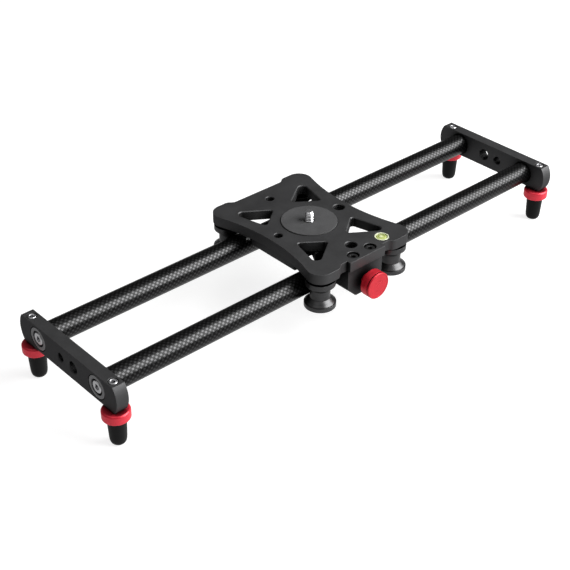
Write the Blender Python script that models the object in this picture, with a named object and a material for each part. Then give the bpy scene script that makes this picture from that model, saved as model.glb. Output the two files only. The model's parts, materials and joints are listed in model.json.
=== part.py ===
"""Camera slider: two tubes between end plates, a four-roller carriage and four levelling legs.

Lengths are metres and +Z is up.  +X runs along the tubes, and the brake knob is on the -Y side.
The pieces are placed from the slider's axis: half way between the tubes, at their mid-height.
An empty there lifts everything so that the feet stand on z = 0 and the box is centred on X and Y.
"""
import math

import bmesh
import bpy

MM = 0.001
HALF_TURN = math.pi
QUARTER_TURN = math.pi / 2

# Clearance between pieces that touch on the real slider, and how far a cutter runs past a face.
GAP = 0.3 * MM
PAST = 1.0 * MM

# Driving dimensions of the rails.
TUBE_RADIUS = 8.0 * MM
TUBE_WALL = 1.0 * MM
TUBE_SPACING = 64.0 * MM
PLATE_OUTER_X = 204.0 * MM
PLATE_THICK = 8.85 * MM
PLATE_HALF_HEIGHT = 9.75 * MM
PLATE_HALF_WIDTH = 49.4 * MM
PLATE_END_BULGE = 3.2 * MM
TUBE_Y = TUBE_SPACING / 2
PLATE_INNER_X = PLATE_OUTER_X - PLATE_THICK
SOCKET_RADIUS = TUBE_RADIUS + GAP
TUBE_SOCKET_DEPTH = 3.5 * MM
TRIM_SEAT_DEPTH = 3.2 * MM
TUBE_END_X = PLATE_INNER_X + TUBE_SOCKET_DEPTH - GAP
PLUG_LENGTH = 20.0 * MM

# Threaded holes take 3/8 inch and 1/4 inch tripod screws.
BIG_HOLE_RADIUS = 4.2 * MM
SMALL_HOLE_RADIUS = 3.1 * MM
HOLE_CHAMFER = 0.6 * MM
TRIPOD_HOLE_Y = 6.8 * MM

# M5 screws hold the tube ends and the rollers, and M4 screws the blocks.
M5_RADIUS = 2.5 * MM
M5_HEAD_RADIUS = 4.3 * MM
M5_HEAD_HEIGHT = 2.7 * MM
M4_RADIUS = 2.0 * MM
M4_HEAD_RADIUS = 3.6 * MM
M4_HEAD_HEIGHT = 3.1 * MM
HEX_HALF_FLATS = 1.9 * MM
HEX_DEPTH = 1.6 * MM

# Levelling legs.
LEG_X = PLATE_OUTER_X - PLATE_THICK / 2
LEG_Y = 44.0 * MM
STUD_RADIUS = 2.95 * MM
STUD_TOP = 9.6 * MM
STUD_BOTTOM = -30.0 * MM
LOCK_RING_RADIUS = 9.1 * MM
LOCK_RING_TOP = -10.9 * MM
LOCK_RING_BOTTOM = -17.9 * MM
FOOT_TOP = LOCK_RING_BOTTOM - GAP
FOOT_BOTTOM = -37.3 * MM
FOOT_RADIUS = 6.2 * MM

# Carriage plate, measured from the carriage's own middle.
CARRIAGE_X = -2.0 * MM
DECK_TOP = 20.0 * MM
DECK_THICK = 7.6 * MM
DECK_BOTTOM = DECK_TOP - DECK_THICK
DECK_HALF_WIDTH = 54.4 * MM
WAIST_HALF_LENGTH = 36.5 * MM
LOBE_X = 34.7 * MM
LOBE_Y = 48.0 * MM
LOBE_RADIUS = 9.6 * MM
LOBE_FLAT_END = 28.0 * MM
STRAIGHT_SIDE_HALF_LENGTH = 20.5 * MM
TAB_HALF_LENGTH = 16.5 * MM
TAB_REACH = 57.7 * MM
WINDOW_CORNERS = ((26.1 * MM, 15.0 * MM, 2.0 * MM), (33.9 * MM, 45.4 * MM, 3.5 * MM),
                  (8.4 * MM, 28.0 * MM, 2.0 * MM))
SMALL_HOLES = ((0.0, 41.3 * MM), (-28.8 * MM, 0.0))
BIG_HOLES = ((28.8 * MM, 0.0), (0.0, -41.3 * MM))

# Middle block: a stem along X with a flared wing on each side, and a crossbar below the left waist.
CROSSBAR_LEFT = -34.0 * MM
CROSSBAR_RIGHT = -25.0 * MM
CROSSBAR_HALF_WIDTH = 22.6 * MM
STEM_RIGHT = 20.0 * MM
STEM_HALF_WIDTH = 15.9 * MM
WING_ROOT = 12.0 * MM
WING_TIP = 17.0 * MM
WING_REACH = 24.3 * MM
BLOCK_BOTTOM = 4.6 * MM
BLOCK_TOP = DECK_BOTTOM - GAP
BLOCK_SCREW_X = 14.0 * MM

# Pad and camera screw.
PAD_RADIUS = 19.75 * MM
PAD_TOP = 20.7 * MM
PAD_SEAT_DEPTH = 0.8 * MM
CAMERA_SCREW_RADIUS = 3.175 * MM
CAMERA_SCREW_TOP = 28.0 * MM
CAMERA_SCREW_HEAD_RADIUS = 6.8 * MM
CAMERA_SCREW_HEAD_HEIGHT = 4.0 * MM

# Bubble level.
LEVEL_X = 23.0 * MM
LEVEL_Y = -47.6 * MM
LEVEL_RADIUS = 5.0 * MM
LEVEL_DEPTH = 5.0 * MM

# Rollers: a V groove whose 45 degree flanks run on the tube's outer side.
ROLLER_X = 33.7 * MM
ROLLER_Y = 47.3 * MM
NECK_RADIUS = 6.86 * MM
NECK_HALF_HEIGHT = 3.3 * MM
LOWER_FLANGE_RADIUS = 10.9 * MM
UPPER_FLANGE_RADIUS = 10.3 * MM
ROLLER_BOTTOM = -10.0 * MM
ROLLER_TOP = 10.5 * MM
BEARING_RADIUS = 5.2 * MM
BEARING_BOTTOM = -6.5 * MM
BEARING_TOP = 5.7 * MM
SPACER_RADIUS = 3.7 * MM

# Brake: a block below the deck's tab, a shoe inside it, and a knob on a screw along Y.
BRAKE_BLOCK_HALF_LENGTH = 16.0 * MM
BRAKE_BLOCK_FRONT = 55.6 * MM
BRAKE_BLOCK_BACK = 42.0 * MM
BRAKE_BLOCK_BOTTOM = -10.4 * MM
BRAKE_BLOCK_FOOT_HALF_LENGTH = 8.2 * MM
BRAKE_BLOCK_CORNER_Z = -3.0 * MM
BRAKE_SCREW_X = 8.0 * MM
BRAKE_SCREW_Y = -51.4 * MM
BRAKE_SEAT_DEPTH = 4.4 * MM
SHOE_RADIUS = 4.0 * MM
SHOE_FACE = 41.3 * MM
SHOE_BACK = 46.0 * MM
KNOB_RADIUS = 9.65 * MM
KNOB_BACK = 61.0 * MM
KNOB_FRONT = 68.5 * MM
SPINDLE_END = 64.7 * MM
GRUB_RADIUS = 1.4 * MM
GRUB_DISTANCE = 64.2 * MM
GRUB_ANGLE = math.radians(135)

# Middle of the outer box across the slider: the knob reaches further out than the rear rollers.
BOX_MIDDLE_Y = (ROLLER_Y + LOWER_FLANGE_RADIUS - KNOB_FRONT) / 2

# Turns that point a piece's own +Z along another axis.
ALONG_X = (QUARTER_TURN, 0, QUARTER_TURN)
ALONG_MINUS_X = (QUARTER_TURN, 0, -QUARTER_TURN)
ALONG_MINUS_Y = (QUARTER_TURN, 0, 0)

# Sides of a turned piece; the screws' hexagon sockets need a multiple of twelve.
SMALL_STEPS = 12
MEDIUM_STEPS = 24
LARGE_STEPS = 36


def clear_scene():
    for item in list(bpy.data.objects):
        bpy.data.objects.remove(item, do_unlink=True)


def material(name, colour, roughness, metallic):
    result = bpy.data.materials.new(name)
    result.use_nodes = True
    shader = result.node_tree.nodes["Principled BSDF"]
    shader.inputs["Base Color"].default_value = (*colour, 1)
    shader.inputs["Roughness"].default_value = roughness
    shader.inputs["Metallic"].default_value = metallic
    return result


def place(name, mesh, finish, location=(0, 0, 0), rotation=(0, 0, 0), parent=None):
    """One named piece; a piece with no finish is a cutter, which is not part of the slider."""
    item = bpy.data.objects.new(name, mesh)
    bpy.context.scene.collection.objects.link(item)
    item.location = location
    item.rotation_euler = rotation
    item.parent = parent
    if finish is None:
        item.hide_render = True
        item.display_type = "WIRE"
    elif not mesh.materials:
        mesh.materials.append(finish)
    return item


def empty(name, location, parent=None):
    item = bpy.data.objects.new(name, None)
    bpy.context.scene.collection.objects.link(item)
    item.location = location
    item.parent = parent
    return item


def finish_mesh(name, shape):
    bmesh.ops.recalc_face_normals(shape, faces=shape.faces)
    mesh = bpy.data.meshes.new(name)
    shape.to_mesh(mesh)
    shape.free()
    mesh.shade_smooth()
    mesh.set_sharp_from_angle(angle=math.radians(30))
    return mesh


def circle_band(shape, ring, steps):
    """A closed band of points round Z at (radius, height), or of a hexagon with a third entry."""
    radius, height = ring[0], ring[1]
    sixth = HALF_TURN / 6
    points = []
    for step in range(steps):
        angle = 2 * HALF_TURN * step / steps
        reach = radius
        if len(ring) == 3:
            reach = radius / math.cos((angle + sixth) % (2 * sixth) - sixth)
        points.append(shape.verts.new((reach * math.cos(angle), reach * math.sin(angle), height)))
    return points


def turned(name, rings, steps=SMALL_STEPS, bored=False):
    """A solid turned round Z, whose (radius, height) rings run up its outer side.

    A bored piece's rings come back down its bore, and any other piece is capped at both ends.
    """
    shape = bmesh.new()
    bands = [circle_band(shape, ring, steps) for ring in rings]
    pairs = list(zip(bands, bands[1:]))
    if bored:
        pairs.append((bands[-1], bands[0]))
    else:
        shape.faces.new(reversed(bands[0]))
        shape.faces.new(bands[-1])
    for low, high in pairs:
        for step in range(steps):
            after = (step + 1) % steps
            shape.faces.new((low[step], low[after], high[after], high[step]))
    return finish_mesh(name, shape)


def washer(name, inner, outer, low, high, steps=SMALL_STEPS):
    rings = ((inner, low), (outer, low), (outer, high), (inner, high))
    return turned(name, rings, steps, bored=True)


def rod(name, radius, low, high, steps=SMALL_STEPS):
    return turned(name, ((radius, low), (radius, high)), steps)


def prism(name, outline, low, high):
    """An outline in the XY plane, given anticlockwise, extruded from low to high."""
    shape = bmesh.new()
    face = shape.faces.new([shape.verts.new((x, y, low)) for x, y in outline])
    raised = bmesh.ops.extrude_face_region(shape, geom=[face])["geom"]
    corners = [item for item in raised if isinstance(item, bmesh.types.BMVert)]
    bmesh.ops.translate(shape, verts=corners, vec=(0, 0, high - low))
    return finish_mesh(name, shape)


def arc(centre, radius, start, end, steps):
    """Points from angle start to angle end, in radians, with both ends included."""
    points = []
    for step in range(steps + 1):
        angle = start + (end - start) * step / steps
        points.append((centre[0] + radius * math.cos(angle), centre[1] + radius * math.sin(angle)))
    return points


def rounded_outline(corners, steps=5):
    """A convex polygon of (x, y, radius) corners, given anticlockwise, with an arc at each corner."""
    points = []
    for index, (x, y, radius) in enumerate(corners):
        before = corners[index - 1]
        after = corners[(index + 1) % len(corners)]
        angle_in = math.atan2(y - before[1], x - before[0])
        angle_out = math.atan2(after[1] - y, after[0] - x)
        turn = (angle_out - angle_in) % (2 * HALF_TURN)
        setback = radius * math.tan(turn / 2)
        centre_x = x - setback * math.cos(angle_in) - radius * math.sin(angle_in)
        centre_y = y - setback * math.sin(angle_in) + radius * math.cos(angle_in)
        start = angle_in - QUARTER_TURN
        points += arc((centre_x, centre_y), radius, start, start + turn, steps)
    return points


def cut(target, mesh, location=(0, 0, 0), rotation=(0, 0, 0)):
    """Take a mesh, placed in the target's own frame, out of the target."""
    cutter = place(mesh.name, mesh, None, location, rotation, target)
    modifier = target.modifiers.new(mesh.name, "BOOLEAN")
    modifier.operation = "DIFFERENCE"
    modifier.object = cutter


def threaded_hole(radius, low, high):
    """A cutter for a threaded hole with a chamfer at each mouth."""
    wide = radius + HOLE_CHAMFER + PAST
    rings = ((wide, low - PAST), (radius, low + HOLE_CHAMFER),
             (radius, high - HOLE_CHAMFER), (wide, high + PAST))
    return turned("threaded_hole", rings, MEDIUM_STEPS)


def socket_screw(name, radius, head_radius, head_height, shank_length):
    """A screw whose head stands on z = 0, with a hexagon socket, and whose shank hangs below."""
    edge = 0.3 * MM
    rings = ((radius - edge, -shank_length), (radius, -shank_length + edge), (radius, 0),
             (head_radius, 0), (head_radius, head_height - edge), (head_radius - edge, head_height),
             (HEX_HALF_FLATS, head_height, "hexagon"),
             (HEX_HALF_FLATS, head_height - HEX_DEPTH, "hexagon"))
    return turned(name, rings)


def end_plate_outline():
    """Seen along the tubes: flat top and bottom, and ends that bulge outwards."""
    radius = (PLATE_HALF_HEIGHT ** 2 + PLATE_END_BULGE ** 2) / (2 * PLATE_END_BULGE)
    centre_y = PLATE_HALF_WIDTH + PLATE_END_BULGE - radius
    reach = math.asin(PLATE_HALF_HEIGHT / radius)
    right = arc((centre_y, 0), radius, -reach, reach, 10)
    left = arc((-centre_y, 0), radius, HALF_TURN - reach, HALF_TURN + reach, 10)
    return right + left


def build_end_plate(name, side, rail, finish):
    """The same part at both ends, its own +Z pointing outwards from the tubes."""
    mesh = prism(name, end_plate_outline(), 0, PLATE_THICK)
    rotation = ALONG_X if side > 0 else ALONG_MINUS_X
    plate = place(name, mesh, finish, (side * PLATE_INNER_X, 0, 0), rotation, rail)
    web_top = PLATE_THICK - TRIM_SEAT_DEPTH
    socket_rings = ((SOCKET_RADIUS, -PAST), (SOCKET_RADIUS, TUBE_SOCKET_DEPTH),
                    (M5_RADIUS + GAP, TUBE_SOCKET_DEPTH), (M5_RADIUS + GAP, web_top),
                    (SOCKET_RADIUS, web_top), (SOCKET_RADIUS, PLATE_THICK + PAST))
    for across in (-1, 1):
        cut(plate, turned("tube_socket", socket_rings, MEDIUM_STEPS), (across * TUBE_Y, 0, 0))
        hole = rod("leg_hole", STUD_RADIUS + GAP, -PLATE_HALF_HEIGHT - PAST, PLATE_HALF_HEIGHT + PAST)
        cut(plate, hole, (across * LEG_Y, 0, PLATE_THICK / 2), ALONG_MINUS_Y)
    cut(plate, threaded_hole(BIG_HOLE_RADIUS, 0, PLATE_THICK), (TRIPOD_HOLE_Y, 0, 0))
    cut(plate, threaded_hole(SMALL_HOLE_RADIUS, 0, PLATE_THICK), (-TRIPOD_HOLE_Y, 0, 0))


def build_tubes(rail, finish):
    for name, across in (("tube_front", -1), ("tube_rear", 1)):
        mesh = washer(name, TUBE_RADIUS - TUBE_WALL, TUBE_RADIUS, -TUBE_END_X, TUBE_END_X, MEDIUM_STEPS)
        place(name, mesh, finish, (0, across * TUBE_Y, 0), ALONG_X, rail)


def build_tube_end(corner, side, across, rail, finishes):
    """The plug inside the tube's end, and the screw and trim ring in the plate's outer face."""
    rotation = ALONG_X if side > 0 else ALONG_MINUS_X
    plug = washer("tube_plug", M5_RADIUS + GAP, TUBE_RADIUS - TUBE_WALL - GAP, -PLUG_LENGTH, 0)
    tube_end = (side * TUBE_END_X, across * TUBE_Y, 0)
    place(f"tube_plug_{corner}", plug, finishes["alloy"], tube_end, rotation, rail)
    seat = (side * (PLATE_OUTER_X - TRIM_SEAT_DEPTH + GAP), across * TUBE_Y, 0)
    thickness = TRIM_SEAT_DEPTH - GAP - 0.1 * MM
    ring = washer("tube_ring", M5_HEAD_RADIUS + 1.3 * MM, TUBE_RADIUS, 0, thickness, MEDIUM_STEPS)
    place(f"tube_ring_{corner}", ring, finishes["grey"], seat, rotation, rail)
    bolt = socket_screw("tube_bolt", M5_RADIUS, M5_HEAD_RADIUS, M5_HEAD_HEIGHT, 14 * MM)
    place(f"tube_bolt_{corner}", bolt, finishes["steel"], seat, rotation, rail)


def build_leg(corner, side, across, rail, finishes):
    """A threaded stud through the end plate, its lock ring and its rubber foot."""
    middle = (side * LEG_X, across * LEG_Y, 0)
    edge = 0.4 * MM
    stud_rings = ((STUD_RADIUS - edge, STUD_BOTTOM), (STUD_RADIUS, STUD_BOTTOM + edge),
                  (STUD_RADIUS, STUD_TOP - edge), (STUD_RADIUS - edge, STUD_TOP),
                  (1.5 * MM, STUD_TOP, "hexagon"), (1.5 * MM, STUD_TOP - 3 * MM, "hexagon"))
    place(f"leg_stud_{corner}", turned("leg_stud", stud_rings), finishes["steel"], middle, parent=rail)
    bore = STUD_RADIUS + GAP
    bevel = 0.7 * MM
    ring_rings = ((bore, LOCK_RING_BOTTOM), (LOCK_RING_RADIUS - bevel, LOCK_RING_BOTTOM),
                  (LOCK_RING_RADIUS, LOCK_RING_BOTTOM + bevel), (LOCK_RING_RADIUS, LOCK_RING_TOP - bevel),
                  (LOCK_RING_RADIUS - bevel, LOCK_RING_TOP), (bore, LOCK_RING_TOP))
    ring = turned("lock_ring", ring_rings, MEDIUM_STEPS, bored=True)
    place(f"lock_ring_{corner}", ring, finishes["red"], middle, parent=rail)
    foot_rings = ((2.8 * MM, FOOT_BOTTOM), (4.4 * MM, FOOT_BOTTOM + 0.8 * MM),
                  (5.3 * MM, FOOT_BOTTOM + 2.4 * MM), (5.6 * MM, FOOT_BOTTOM + 5 * MM),
                  (FOOT_RADIUS, FOOT_TOP - edge), (FOOT_RADIUS - edge, FOOT_TOP),
                  (bore, FOOT_TOP), (bore, STUD_BOTTOM - GAP))
    foot = turned("rubber_foot", foot_rings, MEDIUM_STEPS)
    place(f"rubber_foot_{corner}", foot, finishes["rubber"], middle, parent=rail)


def deck_quarter():
    """The deck's outline from the middle of its waist, round one lobe, to its straight side.

    The waist's arc touches the lobe's, and two equal arcs step down from the lobe's flat to the side.
    """
    inset = WAIST_HALF_LENGTH - LOBE_X
    waist_radius = (inset ** 2 + LOBE_Y ** 2 - LOBE_RADIUS ** 2) / (2 * (LOBE_RADIUS - inset))
    waist_x = WAIST_HALF_LENGTH + waist_radius
    join = math.atan2(LOBE_Y, waist_x - LOBE_X)
    waist = arc((waist_x, 0), waist_radius, HALF_TURN, HALF_TURN - join, 6)
    lobe = arc((LOBE_X, LOBE_Y), LOBE_RADIUS, -join, QUARTER_TURN, 12)
    lobe_reach = LOBE_Y + LOBE_RADIUS
    step_length = LOBE_FLAT_END - STRAIGHT_SIDE_HALF_LENGTH
    turn = 2 * math.atan2(lobe_reach - DECK_HALF_WIDTH, step_length)
    radius = step_length / (2 * math.sin(turn))
    outer = arc((LOBE_FLAT_END, lobe_reach - radius), radius, QUARTER_TURN, QUARTER_TURN + turn, 3)
    inner = arc((STRAIGHT_SIDE_HALF_LENGTH, DECK_HALF_WIDTH + radius), radius,
                turn - QUARTER_TURN, -QUARTER_TURN, 3)
    return waist + lobe[1:] + outer + inner[1:]


def deck_outline():
    """The carriage plate from above: four mirrored quarters, and the tab over the brake."""
    quarter = deck_quarter()
    rear = quarter + [(-x, y) for x, y in reversed(quarter)]
    front_left = [(-x, -y) for x, y in quarter[1:]]
    front_right = [(x, -y) for x, y in reversed(quarter[1:])]
    tab = [(-TAB_HALF_LENGTH, -DECK_HALF_WIDTH), (-TAB_HALF_LENGTH, -TAB_REACH),
           (TAB_HALF_LENGTH, -TAB_REACH), (TAB_HALF_LENGTH, -DECK_HALF_WIDTH)]
    return rear + front_left + tab + front_right


def build_deck(carriage, finish):
    """The carriage plate, with its windows, threaded holes, seats and blind screw holes."""
    mesh = prism("deck", deck_outline(), DECK_BOTTOM, DECK_TOP)
    deck = place("carriage_plate", mesh, finish, parent=carriage)
    window = rounded_outline(WINDOW_CORNERS)
    for flip_x in (-1, 1):
        for flip_y in (-1, 1):
            outline = [(flip_x * x, flip_y * y) for x, y in window]
            if flip_x * flip_y < 0:
                outline.reverse()
            cut(deck, prism("window", outline, DECK_BOTTOM - PAST, DECK_TOP + PAST))
            blind_hole = rod("axle_hole", M5_RADIUS + GAP, DECK_BOTTOM - PAST, DECK_BOTTOM + 5 * MM)
            cut(deck, blind_hole, (flip_x * ROLLER_X, flip_y * ROLLER_Y, 0))
    for holes, radius in ((SMALL_HOLES, SMALL_HOLE_RADIUS), (BIG_HOLES, BIG_HOLE_RADIUS)):
        for x, y in holes:
            cut(deck, threaded_hole(radius, DECK_BOTTOM, DECK_TOP), (x, y, 0))
    pad_seat = DECK_TOP - PAD_SEAT_DEPTH
    pad_rings = ((CAMERA_SCREW_RADIUS + GAP, DECK_BOTTOM - PAST), (CAMERA_SCREW_RADIUS + GAP, pad_seat),
                 (PAD_RADIUS + GAP, pad_seat), (PAD_RADIUS + GAP, DECK_TOP + PAST))
    cut(deck, turned("pad_seat", pad_rings, LARGE_STEPS))
    level_floor = DECK_TOP - LEVEL_DEPTH - GAP
    level_seat = rod("level_seat", LEVEL_RADIUS + GAP, level_floor, DECK_TOP + PAST, MEDIUM_STEPS)
    cut(deck, level_seat, (LEVEL_X, LEVEL_Y, 0))
    head_seat = DECK_TOP - BRAKE_SEAT_DEPTH
    seat_rings = ((M4_RADIUS + GAP, DECK_BOTTOM - PAST), (M4_RADIUS + GAP, head_seat),
                  (BIG_HOLE_RADIUS, head_seat), (BIG_HOLE_RADIUS, DECK_TOP + PAST))
    for side in (-1, 1):
        cut(deck, turned("screw_seat", seat_rings), (side * BRAKE_SCREW_X, BRAKE_SCREW_Y, 0))
        blind_hole = rod("block_hole", M4_RADIUS + GAP, DECK_BOTTOM - PAST, DECK_BOTTOM + 4.5 * MM)
        cut(deck, blind_hole, (side * BLOCK_SCREW_X, 0, 0))


def build_middle_block(carriage, finishes):
    """The block below the deck that stiffens it, with a pocket for the camera screw's head."""
    rear = [(STEM_RIGHT, STEM_HALF_WIDTH), (WING_ROOT, STEM_HALF_WIDTH), (WING_TIP, WING_REACH),
            (-WING_TIP, WING_REACH), (-WING_ROOT, STEM_HALF_WIDTH), (CROSSBAR_RIGHT, STEM_HALF_WIDTH),
            (CROSSBAR_RIGHT, CROSSBAR_HALF_WIDTH), (CROSSBAR_LEFT, CROSSBAR_HALF_WIDTH)]
    outline = rear + [(x, -y) for x, y in reversed(rear)]
    mesh = prism("block", outline, BLOCK_BOTTOM, BLOCK_TOP)
    block = place("middle_block", mesh, finishes["black"], parent=carriage)
    through = (BLOCK_BOTTOM - PAST, BLOCK_TOP + PAST)
    cut(block, rod("head_pocket", CAMERA_SCREW_HEAD_RADIUS + 1.2 * MM, *through, MEDIUM_STEPS))
    seat = BLOCK_BOTTOM + M4_HEAD_HEIGHT
    seat_rings = ((M4_HEAD_RADIUS + GAP, BLOCK_BOTTOM - PAST), (M4_HEAD_RADIUS + GAP, seat),
                  (M4_RADIUS + GAP, seat), (M4_RADIUS + GAP, BLOCK_TOP + PAST))
    for name, side in (("block_screw_left", -1), ("block_screw_right", 1)):
        cut(block, turned("screw_seat", seat_rings), (side * BLOCK_SCREW_X, 0, 0))
        screw = socket_screw("block_screw", M4_RADIUS, M4_HEAD_RADIUS, M4_HEAD_HEIGHT - GAP, 8 * MM)
        head_seat = (side * BLOCK_SCREW_X, 0, seat - GAP)
        place(name, screw, finishes["steel"], head_seat, (HALF_TURN, 0, 0), carriage)
    cut(block, rod("hole_below", SMALL_HOLE_RADIUS + GAP, *through), (*SMALL_HOLES[1], 0))


def build_camera_seat(carriage, finishes):
    """The pad that the camera stands on, and the captive screw that is turned from below."""
    pad_bottom = DECK_TOP - PAD_SEAT_DEPTH + GAP
    pad = washer("pad", CAMERA_SCREW_RADIUS + GAP, PAD_RADIUS, pad_bottom, PAD_TOP, LARGE_STEPS)
    place("camera_pad", pad, finishes["pad"], parent=carriage)
    head_top = DECK_BOTTOM - GAP
    head_bottom = head_top - CAMERA_SCREW_HEAD_HEIGHT
    tip = 0.7 * MM
    rings = ((2.5 * MM, head_bottom + 2.2 * MM, "hexagon"), (2.5 * MM, head_bottom, "hexagon"),
             (CAMERA_SCREW_HEAD_RADIUS, head_bottom), (CAMERA_SCREW_HEAD_RADIUS, head_top),
             (CAMERA_SCREW_RADIUS, head_top), (CAMERA_SCREW_RADIUS, CAMERA_SCREW_TOP - tip),
             (CAMERA_SCREW_RADIUS - tip, CAMERA_SCREW_TOP))
    place("camera_screw", turned("camera_screw", rings), finishes["steel"], parent=carriage)


def build_level(carriage, finishes):
    wall = 0.9 * MM
    floor = DECK_TOP - LEVEL_DEPTH
    rim = DECK_TOP + 0.1 * MM
    cup_rings = ((LEVEL_RADIUS, floor), (LEVEL_RADIUS, rim), (LEVEL_RADIUS - wall, rim),
                 (LEVEL_RADIUS - wall, floor + wall))
    middle = (LEVEL_X, LEVEL_Y, 0)
    cup = turned("level_cup", cup_rings, MEDIUM_STEPS)
    place("level_cup", cup, finishes["white"], middle, parent=carriage)
    vial_radius = LEVEL_RADIUS - wall - GAP
    vial_rings = ((vial_radius, floor + wall + GAP), (vial_radius, DECK_TOP - 0.3 * MM),
                  (vial_radius * 0.6, DECK_TOP))
    vial = turned("level_vial", vial_rings, MEDIUM_STEPS)
    place("level_vial", vial, finishes["vial"], middle, parent=carriage)


def roller_rings():
    """The groove's flanks slope at 45 degrees from the neck out to each flange."""
    edge = 0.4 * MM
    lower = NECK_HALF_HEIGHT + LOWER_FLANGE_RADIUS - NECK_RADIUS
    upper = NECK_HALF_HEIGHT + UPPER_FLANGE_RADIUS - NECK_RADIUS
    bearing_bore = BEARING_RADIUS + GAP
    lip = SPACER_RADIUS + GAP
    return ((bearing_bore, ROLLER_BOTTOM), (LOWER_FLANGE_RADIUS - edge, ROLLER_BOTTOM),
            (LOWER_FLANGE_RADIUS, ROLLER_BOTTOM + edge), (LOWER_FLANGE_RADIUS, -lower),
            (NECK_RADIUS, -NECK_HALF_HEIGHT), (NECK_RADIUS, NECK_HALF_HEIGHT),
            (UPPER_FLANGE_RADIUS, upper), (UPPER_FLANGE_RADIUS, ROLLER_TOP - edge),
            (UPPER_FLANGE_RADIUS - edge, ROLLER_TOP), (lip, ROLLER_TOP),
            (lip, BEARING_TOP + GAP), (bearing_bore, BEARING_TOP + GAP))


def build_roller(corner, side, across, carriage, finishes):
    """A grooved roller on its bearing, and the bolt and spacer that hold it below the deck."""
    middle = (side * ROLLER_X, across * ROLLER_Y, 0)
    roller = turned("roller", roller_rings(), MEDIUM_STEPS, bored=True)
    place(f"roller_{corner}", roller, finishes["black"], middle, parent=carriage)
    shank = M5_RADIUS + GAP
    bearing = washer("roller_bearing", shank, BEARING_RADIUS, BEARING_BOTTOM, BEARING_TOP)
    place(f"roller_bearing_{corner}", bearing, finishes["steel"], middle, parent=carriage)
    spacer = washer("roller_spacer", shank, SPACER_RADIUS, BEARING_TOP + GAP, DECK_BOTTOM - GAP)
    place(f"roller_spacer_{corner}", spacer, finishes["alloy"], middle, parent=carriage)
    head_seat = BEARING_BOTTOM - GAP
    length = DECK_BOTTOM + 4.5 * MM - head_seat
    bolt = socket_screw("axle_bolt", M5_RADIUS, M5_HEAD_RADIUS, M5_HEAD_HEIGHT, length)
    head_place = (side * ROLLER_X, across * ROLLER_Y, head_seat)
    place(f"axle_bolt_{corner}", bolt, finishes["steel"], head_place, (HALF_TURN, 0, 0), carriage)


def build_brake_block(carriage, finishes):
    """The block below the tab, bored along Y for the shoe and its screw."""
    right = [(BRAKE_BLOCK_FOOT_HALF_LENGTH, BRAKE_BLOCK_BOTTOM),
             (BRAKE_BLOCK_HALF_LENGTH, BRAKE_BLOCK_CORNER_Z), (BRAKE_BLOCK_HALF_LENGTH, BLOCK_TOP)]
    outline = right + [(-x, z) for x, z in reversed(right)]
    mesh = prism("brake_block", outline, BRAKE_BLOCK_BACK, BRAKE_BLOCK_FRONT)
    block = place("brake_block", mesh, finishes["black"], rotation=ALONG_MINUS_Y, parent=carriage)
    shoe_bore = SHOE_RADIUS + GAP
    spindle_bore = M5_RADIUS + GAP
    bore_rings = ((shoe_bore, BRAKE_BLOCK_BACK - PAST), (shoe_bore, SHOE_BACK + 2 * MM),
                  (spindle_bore, SHOE_BACK + 2 * MM), (spindle_bore, BRAKE_BLOCK_FRONT + PAST))
    cut(block, turned("shoe_bore", bore_rings))
    upright = (-QUARTER_TURN, 0, 0)
    for name, side in (("brake_screw_left", -1), ("brake_screw_right", 1)):
        screw_hole = rod("screw_hole", M4_RADIUS + GAP, 3 * MM, BLOCK_TOP + PAST)
        cut(block, screw_hole, (side * BRAKE_SCREW_X, 0, -BRAKE_SCREW_Y), upright)
        seat = DECK_TOP - BRAKE_SEAT_DEPTH + GAP
        screw = socket_screw("brake_screw", M4_RADIUS, M4_HEAD_RADIUS, M4_HEAD_HEIGHT, 12 * MM)
        place(name, screw, finishes["steel"], (side * BRAKE_SCREW_X, BRAKE_SCREW_Y, seat), parent=carriage)
    clearance = rod("hole_below", BIG_HOLE_RADIUS + 0.8 * MM, 7 * MM, BLOCK_TOP + PAST)
    cut(block, clearance, (0, 0, -BIG_HOLES[1][1]), upright)


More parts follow.
